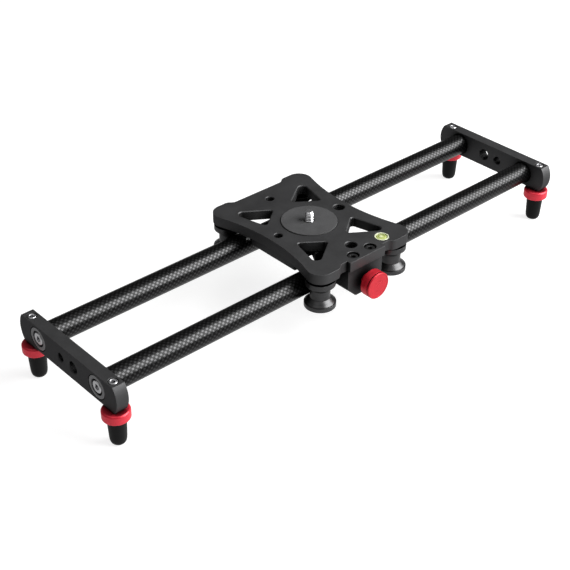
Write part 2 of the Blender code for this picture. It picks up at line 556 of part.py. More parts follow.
def build_brake_knob(carriage, finishes):
    """The shoe, the spindle that pushes it along Y, and the knob with its set screw."""
    shoe = rod("brake_shoe", SHOE_RADIUS, SHOE_FACE, SHOE_BACK)
    place("brake_shoe", shoe, finishes["nylon"], rotation=ALONG_MINUS_Y, parent=carriage)
    spindle = rod("brake_spindle", M5_RADIUS, SHOE_BACK + GAP, SPINDLE_END)
    place("brake_spindle", spindle, finishes["steel"], rotation=ALONG_MINUS_Y, parent=carriage)
    bore = M5_RADIUS + GAP
    hub_radius = 4.6 * MM
    hub_end = BRAKE_BLOCK_FRONT + 1.2 * MM
    edge = 0.25 * MM
    groove_front = KNOB_FRONT - 1.2 * MM
    groove_back = groove_front - 0.5 * MM
    groove_radius = KNOB_RADIUS - 0.7 * MM
    rings = ((bore, SPINDLE_END + GAP), (bore, hub_end), (hub_radius, hub_end), (hub_radius, KNOB_BACK),
             (KNOB_RADIUS - edge, KNOB_BACK), (KNOB_RADIUS, KNOB_BACK + edge),
             (KNOB_RADIUS, groove_back), (groove_radius, groove_back),
             (groove_radius, groove_front), (KNOB_RADIUS, groove_front),
             (KNOB_RADIUS, KNOB_FRONT - edge), (KNOB_RADIUS - edge, KNOB_FRONT))
    mesh = turned("brake_knob", rings, LARGE_STEPS)
    knob = place("brake_knob", mesh, finishes["red"], rotation=ALONG_MINUS_Y, parent=carriage)
    tilt = (0, QUARTER_TURN, GRUB_ANGLE)
    grub_place = (0, 0, GRUB_DISTANCE)
    cut(knob, rod("grub_hole", GRUB_RADIUS + GAP, 0, KNOB_RADIUS + PAST), grub_place, tilt)
    grub_rings = ((GRUB_RADIUS, M5_RADIUS + GAP), (GRUB_RADIUS, KNOB_RADIUS - GAP),
                  (0.7 * MM, KNOB_RADIUS - GAP, "hexagon"), (0.7 * MM, KNOB_RADIUS - 1.5 * MM, "hexagon"))
    grub = turned("knob_set_screw", grub_rings)
    place("knob_set_screw", grub, finishes["steel"], grub_place, tilt, knob)


def main():
    clear_scene()
    finishes = {
        "black": material("black_anodised", (0.035, 0.035, 0.037), 0.5, 0.7),
        "carbon": material("carbon_weave", (0.04, 0.04, 0.045), 0.25, 0.0),
        "steel": material("stainless_steel", (0.62, 0.62, 0.63), 0.25, 1.0),
        "alloy": material("bare_aluminium", (0.7, 0.7, 0.71), 0.35, 1.0),
        "grey": material("grey_anodised", (0.16, 0.16, 0.165), 0.45, 0.8),
        "red": material("red_anodised", (0.62, 0.02, 0.04), 0.3, 0.6),
        "rubber": material("black_rubber", (0.015, 0.015, 0.016), 0.7, 0.0),
        "pad": material("pad_rubber", (0.07, 0.07, 0.072), 0.85, 0.0),
        "nylon": material("white_nylon", (0.75, 0.74, 0.7), 0.5, 0.0),
        "white": material("level_body", (0.75, 0.8, 0.55), 0.3, 0.0),
        "vial": material("level_fluid", (0.6, 0.75, 0.15), 0.1, 0.0),
    }
    rail = empty("rail_axis", (0, -BOX_MIDDLE_Y, -FOOT_BOTTOM))
    carriage = empty("carriage_axis", (CARRIAGE_X, 0, 0), rail)
    build_end_plate("end_plate_left", -1, rail, finishes["black"])
    build_end_plate("end_plate_right", 1, rail, finishes["black"])
    build_tubes(rail, finishes["carbon"])
    for side, side_name in ((-1, "left"), (1, "right")):
        for across, across_name in ((-1, "front"), (1, "rear")):
            corner = f"{across_name}_{side_name}"
            build_tube_end(corner, side, across, rail, finishes)
            build_leg(corner, side, across, rail, finishes)
            build_roller(corner, side, across, carriage, finishes)
    build_deck(carriage, finishes["black"])
    build_middle_block(carriage, finishes)
    build_camera_seat(carriage, finishes)
    build_level(carriage, finishes)
    build_brake_block(carriage, finishes)
    build_brake_knob(carriage, finishes)


main()
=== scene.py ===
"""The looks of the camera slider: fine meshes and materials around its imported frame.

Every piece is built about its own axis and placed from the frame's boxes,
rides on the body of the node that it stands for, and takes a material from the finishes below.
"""
import json
import math

import bmesh
import bpy
from mathutils import Euler, Matrix, Vector
from mathutils.geometry import tessellate_polygon


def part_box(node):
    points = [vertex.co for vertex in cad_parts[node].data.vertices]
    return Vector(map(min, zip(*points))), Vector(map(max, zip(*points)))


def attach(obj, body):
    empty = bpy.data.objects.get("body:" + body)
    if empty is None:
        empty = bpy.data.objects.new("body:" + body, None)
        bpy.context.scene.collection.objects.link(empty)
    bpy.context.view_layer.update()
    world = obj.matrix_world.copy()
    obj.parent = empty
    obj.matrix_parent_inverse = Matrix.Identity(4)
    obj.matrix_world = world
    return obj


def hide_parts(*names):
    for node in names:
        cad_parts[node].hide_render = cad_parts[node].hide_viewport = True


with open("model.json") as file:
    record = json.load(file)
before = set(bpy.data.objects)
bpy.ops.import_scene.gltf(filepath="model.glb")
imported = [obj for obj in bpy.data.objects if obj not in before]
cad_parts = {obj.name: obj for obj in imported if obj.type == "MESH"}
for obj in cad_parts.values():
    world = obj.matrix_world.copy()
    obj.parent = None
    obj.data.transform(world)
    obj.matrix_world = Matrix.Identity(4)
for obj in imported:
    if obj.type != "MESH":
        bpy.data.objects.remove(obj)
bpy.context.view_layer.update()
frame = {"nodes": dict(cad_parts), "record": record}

MM = 0.001
TURN = 2 * math.pi
RIGHT = math.pi / 2
RECORD = frame["record"]
BODY_OF = {node: body for body, nodes in RECORD["behaviour"]["bodies"].items() for node in nodes}
CORNERS = [(f"{across}_{side}", x_sign)
           for side, x_sign in (("left", -1), ("right", 1))
           for across in ("front", "rear")]

# Turns that point a piece's own +Z along another axis.
UP = (0, 0, 0)
DOWN = (math.pi, 0, 0)
ALONG_X = (RIGHT, 0, RIGHT)
ALONG_MINUS_X = (RIGHT, 0, -RIGHT)
ALONG_MINUS_Y = (RIGHT, 0, 0)

# Shared sizes, as in the design.
GAP = 0.3 * MM
TUBE_WALL = 1.0 * MM
PITCH_QUARTER_INCH = 1.27 * MM
PITCH_THREE_EIGHTHS = 1.5875 * MM
PITCH_M6 = 1.0 * MM
PITCH_M5 = 0.8 * MM
PITCH_M4 = 0.7 * MM
BIG_HOLE = 4.2 * MM
SMALL_HOLE = 3.1 * MM
THREAD_DEPTH = 0.54     # in pitches, crest to core
THREAD_RIDGE = 0.14     # in pitches, how far a threaded hole's ridges stand to each side

# Steps round a circle, and the angles in degrees from which an edge stays sharp.
FINE = 96
MEDIUM = 48
CREASE = 38
SOFT_CREASE = 60
SOFTEST_CREASE = 80


def middle(node):
    low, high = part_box(node)
    return (low + high) / 2


def size(node):
    low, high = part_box(node)
    return high - low


# ---------------------------------------------------------------- mesh tools

def rounded(points, radius, closed=False, steps=3):
    """A 2-D line whose corners are eased, each over less than half of its shorter side.

    A point with a third entry, as in a hexagon ring, stays sharp.
    """
    result = []
    count = len(points)
    for index, point in enumerate(points):
        at_end = not closed and index in (0, count - 1)
        if at_end or len(point) == 3 or radius == 0:
            result.append(point)
            continue
        here = Vector(point)
        before = Vector(points[index - 1][:2])
        after = Vector(points[(index + 1) % count][:2])
        reach = min(radius, (before - here).length * 0.45, (after - here).length * 0.45)
        start = here + (before - here).normalized() * reach
        end = here + (after - here).normalized() * reach
        for step in range(steps + 1):
            t = step / steps
            result.append(tuple((1 - t) ** 2 * start + 2 * t * (1 - t) * here + t ** 2 * end))
    return result


def arc(centre, radius, start, end, steps):
    points = []
    for step in range(steps + 1):
        angle = start + (end - start) * step / steps
        points.append((centre[0] + radius * math.cos(angle), centre[1] + radius * math.sin(angle)))
    return points


def filleted(corners, steps=8):
    """A convex polygon of (x, y, radius) corners, given anticlockwise, with an arc at each corner."""
    points = []
    for index, (x, y, radius) in enumerate(corners):
        before = corners[index - 1]
        after = corners[(index + 1) % len(corners)]
        angle_in = math.atan2(y - before[1], x - before[0])
        angle_out = math.atan2(after[1] - y, after[0] - x)
        turn = (angle_out - angle_in) % TURN
        setback = radius * math.tan(turn / 2)
        centre_x = x - setback * math.cos(angle_in) - radius * math.sin(angle_in)
        centre_y = y - setback * math.sin(angle_in) + radius * math.cos(angle_in)
        points += arc((centre_x, centre_y), radius, angle_in - RIGHT, angle_in - RIGHT + turn, steps)
    return points


def smooth(item, crease=CREASE, face_weight=100):
    """Smooth shading that keeps creases sharp and leans on the larger faces."""
    item.data.shade_smooth()
    item.data.set_sharp_from_angle(angle=math.radians(crease))
    weighted = item.modifiers.new("face_weights", "WEIGHTED_NORMAL")
    weighted.keep_sharp = True
    weighted.weight = face_weight


def to_object(name, shape, place, turn=UP, crease=CREASE):
    """A closed mesh, made smooth with sharp creases, placed by its origin and its turn."""
    bmesh.ops.remove_doubles(shape, verts=shape.verts, dist=1e-7)
    bmesh.ops.dissolve_degenerate(shape, edges=shape.edges, dist=1e-7)
    bmesh.ops.recalc_face_normals(shape, faces=shape.faces)
    mesh = bpy.data.meshes.new(name)
    shape.to_mesh(mesh)
    shape.free()
    item = bpy.data.objects.new(name, mesh)
    bpy.context.scene.collection.objects.link(item)
    item.matrix_world = Matrix.Translation(Vector(place)) @ Euler(turn).to_matrix().to_4x4()
    smooth(item, crease)
    return item


def band(shape, ring, steps):
    """Points round Z at (radius, height); a third entry makes it a hexagon across its flats."""
    half_side = TURN / 12
    points = []
    for step in range(steps):
        angle = TURN * step / steps
        reach = ring[0]
        if len(ring) == 3:
            reach /= math.cos((angle + half_side) % (2 * half_side) - half_side)
        points.append(shape.verts.new((reach * math.cos(angle), reach * math.sin(angle), ring[1])))
    return points


def join_bands(shape, low, high):
    count = len(low)
    for step in range(count):
        after = (step + 1) % count
        shape.faces.new((low[step], low[after], high[after], high[step]))


def turned(name, rings, place, turn=UP, ease=0.0, steps=FINE, bored=False, crease=CREASE):
    """A solid turned round its own Z; its rings run up the outer side, and back down a bore."""
    shape = bmesh.new()
    bands = [band(shape, ring, steps) for ring in rounded(list(rings), ease, bored)]
    for low, high in zip(bands, bands[1:]):
        join_bands(shape, low, high)
    if bored:
        join_bands(shape, bands[-1], bands[0])
    else:
        shape.faces.new(reversed(bands[0]))
        shape.faces.new(bands[-1])
    return to_object(name, shape, place, turn, crease)


def threaded_rod(name, crest, pitch, low, high, place, turn=UP, point=0.0, steps=MEDIUM):
    """A rod with a helical thread; at its top the radius ends smaller than the core by point.

    The profile gives each corner of one thread as (share of the pitch, radius).
    """
    core = crest - THREAD_DEPTH * pitch
    profile = ((0.0, core), (0.42, crest), (0.5, crest), (0.92, core))
    rows = len(profile) * (math.ceil((high - low) / pitch) + 2)
    end_radius = core - point
    shape = bmesh.new()
    columns = []
    for step in range(steps):
        column = []
        for row in range(rows + 1):
            turn_number, part = divmod(row, len(profile))
            along, radius = profile[part]
            height = low + pitch * (turn_number - 1 + along + step / steps)
            inside = low < height < high
            height = min(max(height, low), high)
            limit = end_radius + (high - height)
            radius = min(radius, limit) if inside else min(core, limit)
            angle = TURN * step / steps
            spot = (radius * math.cos(angle), radius * math.sin(angle), height)
            column.append(shape.verts.new(spot))
        columns.append(column)
    for step, column in enumerate(columns):
        wraps = step == steps - 1
        shift = len(profile) if wraps else 0
        following = columns[0] if wraps else columns[step + 1]
        for row in range(rows - shift):
            shape.faces.new((column[row], following[row + shift],
                             following[row + shift + 1], column[row + 1]))
    shape.faces.new([column[0] for column in reversed(columns)])
    shape.faces.new([column[-1] for column in columns])
    return to_object(name, shape, place, turn)


def outline_loop(points):
    """A function from an outward offset to the outline moved by it; the outline is anticlockwise."""
    count = len(points)
    normals = []
    for index in range(count):
        before = Vector(points[index - 1])
        after = Vector(points[(index + 1) % count])
        here = Vector(points[index])
        first = (here - before).normalized()
        second = (after - here).normalized()
        normal = Vector((first.y + second.y, -first.x - second.x)).normalized()
        squeeze = max(0.5, normal.dot(Vector((second.y, -second.x))))
        normals.append(normal / squeeze)

    def moved(offset):
        return [(point[0] + normal.x * offset, point[1] + normal.y * offset)
                for point, normal in zip(points, normals)]
    return moved


def circle_loop(x, y, steps=MEDIUM):
    """A function from a radius to the circle round (x, y) with that radius."""
    angles = [TURN * step / steps for step in range(steps)]

    def moved(radius):
        return [(x + radius * math.cos(angle), y + radius * math.sin(angle)) for angle in angles]
    return moved


def edge_path(low, high, ease):
    """(offset, height) pairs up a plate's side, with both of its edges eased."""
    points = [(-ease, low), (0.0, low), (0.0, high), (-ease, high)]
    return rounded(points, ease)


def cap(shape, loops, upward):
    """Fill the flat face between an outer ring of points and the rings of its openings."""
    flat = [vertex for loop in loops for vertex in loop]
    for triangle in tessellate_polygon([[vertex.co for vertex in loop] for loop in loops]):
        corners = [flat[index] for index in triangle]
        face = shape.faces.new(corners)
        face.normal_update()
        if (face.normal.z > 0) != upward:
            face.normal_flip()


def plate(name, outer, low, high, ease, openings, place, turn=UP):
    """A flat part with eased edges.

    Each opening is (loop, path, ends): its path runs down from the top face, and ends is
    "through", or "floor" where it stops in a floor, or "below" where it is cut from below.
    """
    shape = bmesh.new()

    def ring(loop, offset, height):
        return [shape.verts.new((x, y, height)) for x, y in loop(offset)]

    bands = [ring(outer, offset, height) for offset, height in edge_path(low, high, ease)]
    for first, second in zip(bands, bands[1:]):
        join_bands(shape, first, second)
    top_loops = [bands[-1]]
    bottom_loops = [bands[0]]
    for loop, path, ends in openings:
        walls = [ring(loop, offset, height) for offset, height in path]
        for first, second in zip(walls, walls[1:]):
            join_bands(shape, first, second)
        if ends != "below":
            top_loops.append(walls[0])
        if ends == "floor":
            shape.faces.new(walls[-1])
        else:
            bottom_loops.append(walls[-1])
        if ends == "below":
            shape.faces.new(reversed(walls[0]))
    cap(shape, top_loops, True)
    cap(shape, bottom_loops, False)
    return to_object(name, shape, place, turn)


def eased_hole(radius, low, high, edge):
    """A round through hole's path from the top face to the bottom one, with eased mouths."""
    return [(radius + edge, high), (radius, high - edge), (radius, low + edge), (radius + edge, low)]


def threaded_hole(radius, pitch, low, high, chamfer=0.6 * MM):
    """A threaded hole's path: a chamfer at each mouth and ridges a pitch apart between them."""
    ridge = THREAD_RIDGE * pitch
    path = [(radius + chamfer, high), (radius, high - chamfer)]
    height = high - chamfer - pitch / 4
    while height > low + chamfer + pitch:
        path += [(radius - ridge, height), (radius + ridge, height - pitch / 2)]
        height -= pitch
    return path + [(radius, low + chamfer), (radius + chamfer, low)]


def drill(item, cutter):
    """Take a cutter out of a piece, and drop the cutter."""
    modifier = item.modifiers.new("drill", "BOOLEAN")
    modifier.operation = "DIFFERENCE"
    modifier.object = cutter
    item.modifiers.move(len(item.modifiers) - 1, 0)
    bpy.context.view_layer.update()
    evaluated = item.evaluated_get(bpy.context.evaluated_depsgraph_get())
    mesh = bpy.data.meshes.new_from_object(evaluated)
    item.modifiers.clear()
    item.data = mesh
    smooth(item, face_weight=50)
    bpy.data.objects.remove(cutter)


def paint(item, finish):
    item.data.materials.clear()
    item.data.materials.append(finish)


def stand_for(piece, node, finish):
    """The piece takes the node's place: its body and this material."""
    paint(piece, finish)
    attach(piece, BODY_OF[node])
    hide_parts(node)


# ---------------------------------------------------------------- material tools

NOISE_SPAN = (0.3, 0.7)     # where nearly all of a noise texture's values lie


class Nodes:
    """A short way to write the node tree of a material or of the world."""

    def __init__(self, owner, shader="Principled BSDF"):
        owner.use_nodes = True
        self.owner = owner
        self.tree = owner.node_tree
        self.shader = self.tree.nodes[shader]

    def add(self, kind, inputs=None, **settings):
        node = self.tree.nodes.new(kind)
        for key, value in settings.items():
            setattr(node, key, value)
        for key, value in (inputs or {}).items():
            self.feed(node, key, value)
        return node

    def feed(self, node, key, value):
        if isinstance(value, bpy.types.NodeSocket):
            self.tree.links.new(value, node.inputs[key])
        else:
            node.inputs[key].default_value = value

    def math(self, operation, *values):
        node = self.add("ShaderNodeMath", operation=operation)
        for index, value in enumerate(values):
            self.feed(node, index, value)
        return node.outputs[0]

    def blend(self, first, second, share):
        """Share of the first value, and the rest of the second."""
        return self.math("ADD", self.math("MULTIPLY", first, share),
                         self.math("MULTIPLY", second, 1 - share))

    def mix(self, factor, first, second, **settings):
        """A mix of two colours."""
        inputs = {0: factor, 6: first, 7: second}
        return self.add("ShaderNodeMix", inputs, data_type="RGBA", **settings).outputs[2]

    def mix_values(self, factor, first, second):
        return self.add("ShaderNodeMix", {0: factor, 2: first, 3: second}).outputs[0]

    def own_place(self):
        return self.add("ShaderNodeTexCoord").outputs["Object"]

    def split(self, vector):
        return self.add("ShaderNodeSeparateXYZ", {0: vector}).outputs

    def join(self, x, y):
        return self.add("ShaderNodeCombineXYZ", {0: x, 1: y, 2: 0.0}).outputs[0]

    def stretched(self, vector, scale):
        return self.add("ShaderNodeMapping", {0: vector, 3: scale}).outputs[0]

    def noise(self, vector, scale, detail=3.0, roughness=0.55):
        inputs = {"Vector": vector, "Scale": scale, "Detail": detail, "Roughness": roughness}
        return self.add("ShaderNodeTexNoise", inputs).outputs[0]

    def spread(self, value, low, high, start=0.0, end=1.0):
        """The value's span from start to end, clamped and moved to the span from low to high."""
        inputs = {0: value, 1: start, 2: end, 3: low, 4: high}
        return self.add("ShaderNodeMapRange", inputs).outputs[0]

    def bump(self, height, distance, strength):
        inputs = {"Height": height, "Distance": distance, "Strength": strength}
        return self.add("ShaderNodeBump", inputs).outputs[0]

    def painted_recess_shade(self, colour, reach):
        """The colour with painted shade: darkened where the surface is closed in by what stands
        within reach of it.
        """
        painted_shade_closeness = self.add("ShaderNodeAmbientOcclusion", {"Distance": reach}, samples=8)
        shade = self.spread(painted_shade_closeness.outputs["AO"], 0.08, 1.0, 0.4, 0.9)
        return self.mix(1.0, colour, shade, blend_type="MULTIPLY")

    def set(self, **sockets):
        """Feed the shader's sockets, named with _ for each space."""
        for key, value in sockets.items():
            self.feed(self.shader, key.replace("_", " "), value)
        return self.owner


def new_material(name):
    return Nodes(bpy.data.materials.new(name))


def grey(level):
    """A grey with a trace of blue."""
    return (level, level, level * 1.02, 1)


def blasted_black(name, level, roughness):
    """Bead-blasted and anodised: a fine even grain with faint cloudy variation, and painted shade
    darkening its recesses.
    """
    nodes = new_material(name)
    place = nodes.own_place()
    cloud = nodes.noise(place, 60, 4)
    grain = nodes.noise(place, 5200, 2, 0.7)
    speck = nodes.noise(place, 2400, 2, 0.6)
    shade = nodes.blend(cloud, speck, 0.4)
    colour = nodes.mix(shade, grey(level * 0.72), grey(level * 1.3))
    both = nodes.math("ADD", cloud, speck)
    rough = nodes.spread(both, roughness - 0.08, roughness + 0.08, 0.6, 1.4)
    # Painted shade: the colour darkens where other surfaces stand within 12 mm.
    return nodes.set(Base_Color=nodes.painted_recess_shade(colour, 12 * MM), Roughness=rough,
                     Normal=nodes.bump(grain, 0.02 * MM, 0.5), Metallic=0.96,
                     Specular_Tint=grey(0.5))


def turned_metal(name, dark, light, roughness, metallic, line_scale, depth, reach=0.0):
    """Metal cut on a lathe: fine lines round the piece's own Z, in its shade, gloss and surface.

    With a reach, painted shade darkens the recesses that are narrower than it.
    """
    nodes = new_material(name)
    place = nodes.own_place()
    x, y, z = nodes.split(place)
    squares = nodes.math("ADD", nodes.math("MULTIPLY", x, x), nodes.math("MULTIPLY", y, y))
    radius = nodes.math("SQRT", squares)
    lines = nodes.noise(nodes.join(radius, z), line_scale, 3, 0.7)
    cloud = nodes.noise(place, 150, 3)
    shade = nodes.blend(lines, cloud, 0.6)
    rough = nodes.spread(shade, roughness - 0.07, roughness + 0.07, *NOISE_SPAN)
    colour = nodes.mix(nodes.spread(shade, 0, 1, *NOISE_SPAN), dark, light)
    # Painted shade in the recesses within reach.
    if reach:
        colour = nodes.painted_recess_shade(colour, reach)
    return nodes.set(Base_Color=colour, Roughness=rough, Metallic=metallic,
                     Normal=nodes.bump(lines, depth, 0.6))


def carbon_weave():
    """Woven tows under clear lacquer: floats along the tube alternate with floats round it, and a
    painted sheen makes those along it lighter.
    """
    nodes = new_material("carbon_weave")
    x, y, z = nodes.split(nodes.own_place())
    float_length = 1.75 * MM
    rows = 30
    along = nodes.math("DIVIDE", z, float_length)
    around = nodes.math("MULTIPLY", nodes.math("ARCTAN2", y, x), rows / TURN)
    row = nodes.math("FLOOR", around)
    column = nodes.math("FLOOR", along)
    parity = nodes.math("FLOORED_MODULO", nodes.math("ADD", row, column), 2.0)

    def dome(value):
        """1 in the middle of each float, falling to 0 at its edges."""
        from_middle = nodes.math("SUBTRACT", nodes.math("FRACT", value), 0.5)
        square = nodes.math("MULTIPLY", from_middle, from_middle)
        return nodes.math("SUBTRACT", 1.0, nodes.math("MULTIPLY", square, 4.0))

    height = nodes.math("MULTIPLY", dome(around), nodes.math("POWER", dome(along), 0.5))
    # Two noises, drawn out along the fibres of each kind of float.
    fibre_place = nodes.join(along, around)
    fibres_along = nodes.noise(nodes.stretched(fibre_place, (1.2, 16.0, 1.0)), 1.0, 3, 0.7)
    fibres_around = nodes.noise(nodes.stretched(fibre_place, (30.0, 0.8, 1.0)), 1.0, 3, 0.7)
    fibres = nodes.mix_values(parity, fibres_around, fibres_along)
    # Painted reflection: floats round the tube are near black and floats along it lighter, in place
    # of the sheen of fibres running two ways; each float is also darker towards its edges.
    tow_sheen_tone = nodes.mix(parity, grey(0.003), grey(0.07))
    fibre_shade = nodes.spread(fibres, 0.6, 1.0, *NOISE_SPAN)
    weave_colour_with_sheen = nodes.mix(nodes.math("MULTIPLY", height, fibre_shade), grey(0.006), tow_sheen_tone)
    relief = nodes.math("ADD", height, nodes.math("MULTIPLY", fibres, 0.35))
    return nodes.set(Base_Color=weave_colour_with_sheen, Roughness=nodes.mix_values(parity, 0.38, 0.32),
                     Normal=nodes.bump(relief, 0.04 * MM, 0.4), Metallic=0.95,
                     Coat_Weight=0.3, Coat_Roughness=0.3)


def rubber(name, level, roughness, grain_scale, depth):
    """A grainy rubber, dull and nearly without reflections."""
    nodes = new_material(name)
    place = nodes.own_place()
    grain = nodes.noise(place, grain_scale, 4, 0.65)
    cloud = nodes.noise(place, 90, 3)
    shade = nodes.spread(nodes.blend(grain, cloud, 0.5), 0, 1, *NOISE_SPAN)
    rough = nodes.spread(grain, roughness - 0.07, roughness + 0.07, *NOISE_SPAN)
    return nodes.set(Base_Color=nodes.mix(shade, grey(level * 0.75), grey(level * 1.25)),
                     Roughness=rough, Normal=nodes.bump(grain, depth, 0.6),
                     Metallic=0.0, Specular_IOR_Level=0.18)


def tinted_plastic(name, dark, light, roughness):
    nodes = new_material(name)
    cloud = nodes.noise(nodes.own_place(), 260, 3)
    return nodes.set(Base_Color=nodes.mix(nodes.spread(cloud, 0, 1, *NOISE_SPAN), dark, light),
                     Roughness=nodes.spread(cloud, roughness, roughness + 0.06, *NOISE_SPAN),
                     Metallic=0.0)


# A metal's numbers: roughness, metallic, lines per metre, depth of the lines, reach of the painted
# shade in its recesses.
FINISH = {
    "black": blasted_black("black_anodised", 0.1, 0.58),
    "roller": turned_metal("roller_black", grey(0.055), grey(0.11),
                           0.34, 0.9, 1800, 0.01 * MM, 9 * MM),
    "grey": turned_metal("grey_anodised", grey(0.17), grey(0.25), 0.38, 0.8, 1800, 0.01 * MM),
    "alloy": turned_metal("bare_aluminium", grey(0.5), grey(0.68), 0.34, 1.0, 1600, 0.01 * MM),
    "steel": turned_metal("stainless_steel", grey(0.72), grey(0.9),
                          0.32, 1.0, 1600, 0.008 * MM, 1.2 * MM),
    "black_steel": turned_metal("black_steel", grey(0.03), grey(0.06), 0.3, 0.7, 1800, 0.01 * MM),
    "red": turned_metal("red_anodised", (0.45, 0.008, 0.018, 1), (0.68, 0.018, 0.036, 1),
                        0.3, 0.35, 1500, 0.01 * MM, 2.5 * MM),
    # The lock rings' red is a lighter copy of the knob's red: painted light, for the brighter light
    # the rings catch.
    "ring": turned_metal("red_ring_painted_light", (0.6, 0.02, 0.04, 1), (0.78, 0.035, 0.06, 1),
                         0.34, 0.3, 1500, 0.01 * MM, 5 * MM),
    "carbon": carbon_weave(),
    "foot": rubber("foot_rubber", 0.004, 0.42, 1500, 0.03 * MM),
    "pad": rubber("pad_rubber", 0.066, 0.8, 1800, 0.06 * MM),
    "nylon": tinted_plastic("nylon", grey(0.62), grey(0.74), 0.5),
    "level_body": tinted_plastic("level_body", (0.6, 0.63, 0.44, 1), (0.7, 0.73, 0.54, 1), 0.25),
    "level_fluid": tinted_plastic("level_fluid", (0.42, 0.48, 0.15, 1), (0.5, 0.56, 0.2, 1), 0.15),
    "bubble": tinted_plastic("level_bubble", (0.6, 0.64, 0.36, 1), (0.68, 0.72, 0.44, 1), 0.1),
    "mark": tinted_plastic("level_mark", (0.16, 0.2, 0.05, 1), (0.2, 0.24, 0.07, 1), 0.4),
}


# ---------------------------------------------------------------- rails

END_THICK = size("end_plate_left").x
END_HALF_HEIGHT = size("end_plate_left").z / 2
END_HALF_WIDTH = size("end_plate_left").y / 2
END_BULGE = 3.2 * MM
SEAT_RADIUS = 8.3 * MM
SEAT_DEPTH = 3.2 * MM
SEAT_EDGE = 0.3 * MM
SOCKET_DEPTH = 3.5 * MM
WEB_HOLE = 2.8 * MM
TRIPOD_HOLE_X = 6.8 * MM
STUD_HOLE = 3.25 * MM
STUD_HOLE_CHAMFER = 1.4 * MM
TUBE_Y = (middle("tube_rear").y - middle("tube_front").y) / 2


def end_plate_outline():
    """A long plate whose two ends bulge out in a shallow arc."""
    radius = (END_HALF_HEIGHT ** 2 + END_BULGE ** 2) / (2 * END_BULGE)
    centre = END_HALF_WIDTH - radius
    reach = math.asin(END_HALF_HEIGHT / radius)
    right = arc((centre, 0), radius, -reach, reach, 24)
    left = arc((-centre, 0), radius, math.pi - reach, math.pi + reach, 24)
    return right + left


def end_plate_openings():
    """Two stepped seats, a tube's on one side and a trim ring's on the other, and two threads."""
    seat = [(SEAT_RADIUS + SEAT_EDGE, END_THICK), (SEAT_RADIUS, END_THICK - SEAT_EDGE),
            (SEAT_RADIUS, END_THICK - SEAT_DEPTH), (WEB_HOLE, END_THICK - SEAT_DEPTH),
            (WEB_HOLE, SOCKET_DEPTH), (SEAT_RADIUS, SOCKET_DEPTH),
            (SEAT_RADIUS, SEAT_EDGE), (SEAT_RADIUS + SEAT_EDGE, 0)]
    big = threaded_hole(BIG_HOLE, PITCH_THREE_EIGHTHS, 0, END_THICK)
    small = threaded_hole(SMALL_HOLE, PITCH_QUARTER_INCH, 0, END_THICK)
    return [(circle_loop(-TUBE_Y, 0, FINE), seat, "through"),
            (circle_loop(TUBE_Y, 0, FINE), seat, "through"),
            (circle_loop(TRIPOD_HOLE_X, 0), big, "through"),
            (circle_loop(-TRIPOD_HOLE_X, 0), small, "through")]


def make_end_plate(side, x_sign):
    """The plate is drawn from its inner face outwards, and then drilled for its two studs."""
    node = f"end_plate_{side}"
    low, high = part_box(node)
    centre = middle(node)
    place = (low.x if x_sign > 0 else high.x, centre.y, centre.z)
    turn = ALONG_X if x_sign > 0 else ALONG_MINUS_X
    outer = outline_loop(end_plate_outline())
    piece = plate(f"{node}_body", outer, 0, END_THICK, 0.35 * MM, end_plate_openings(), place, turn)
    reach = END_HALF_HEIGHT + 1 * MM
    wide = STUD_HOLE + STUD_HOLE_CHAMFER
    rings = ((wide, -reach), (STUD_HOLE, STUD_HOLE_CHAMFER - reach),
             (STUD_HOLE, reach - STUD_HOLE_CHAMFER), (wide, reach))
    for across in ("front", "rear"):
        stud = middle(f"leg_stud_{across}_{side}")
        drill(piece, turned("cutter", rings, (stud.x, stud.y, centre.z), steps=MEDIUM))
    stand_for(piece, node, FINISH["black"])


def make_tube(node):
    radius = size(node).z / 2
    bore = radius - TUBE_WALL
    half = size(node).x / 2
    rings = ((bore, -half), (radius, -half), (radius, half), (bore, half))
    piece = turned(f"{node}_body", rings, middle(node), ALONG_X, 0.2 * MM, bored=True)
    stand_for(piece, node, FINISH["carbon"])


def socket_screw(node, place, turn, finish, pitch, length, sizes):
    """A socket-head screw, its origin under the head: an eased head and a threaded shank.

    The sizes are the shank's radius, the head's radius and height, and the hexagon socket's
    half width across flats and depth.
    """
    shank, head, height, socket, depth = sizes
    edge = 0.35 * MM
    overlap = 0.2 * MM
    rings = ((shank, -overlap), (shank, 0), (head, 0), (head, height - edge),
             (head - edge * 0.8, height), (socket + edge, height),
             (socket + 0.1 * MM, height - 0.2 * MM, "hexagon"),
             (socket, height - 0.3 * MM, "hexagon"), (socket, height - depth, "hexagon"))
    stand_for(turned(f"{node}_head", rings, place, turn, 0.15 * MM), node, finish)
    rod = threaded_rod(f"{node}_thread", shank, pitch, -length, -overlap, place, turn)
    stand_for(rod, node, finish)


M5_SCREW = (2.5 * MM, 4.3 * MM, 2.7 * MM, 1.9 * MM, 1.7 * MM)
BLOCK_SCREW = (2.0 * MM, 3.6 * MM, 2.8 * MM, 1.6 * MM, 1.5 * MM)
BRAKE_SCREW = (2.0 * MM, 3.6 * MM, 3.1 * MM, 1.6 * MM, 1.8 * MM)
HEAD_HEIGHT = 2     # where the head's height stands among a screw's sizes


def make_tube_end(corner, x_sign):
    """The trim ring and the screw on a plate's outer face; the hidden plug keeps its CAD shape."""
    turn = ALONG_X if x_sign > 0 else ALONG_MINUS_X
    ring = f"tube_ring_{corner}"
    half = size(ring).x / 2
    outer = size(ring).y / 2
    inner = 5.6 * MM
    rings = ((inner, -half), (outer, -half), (outer, half), (inner, half))
    piece = turned(f"{ring}_body", rings, middle(ring), turn, 0.3 * MM, bored=True)
    stand_for(piece, ring, FINISH["grey"])
    bolt = f"tube_bolt_{corner}"
    low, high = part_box(bolt)
    head = M5_SCREW[HEAD_HEIGHT]
    place = (high.x - head if x_sign > 0 else low.x + head, middle(bolt).y, middle(bolt).z)
    socket_screw(bolt, place, turn, FINISH["steel"], PITCH_M5, 14 * MM, M5_SCREW)
    paint(frame["nodes"][f"tube_plug_{corner}"], FINISH["alloy"])


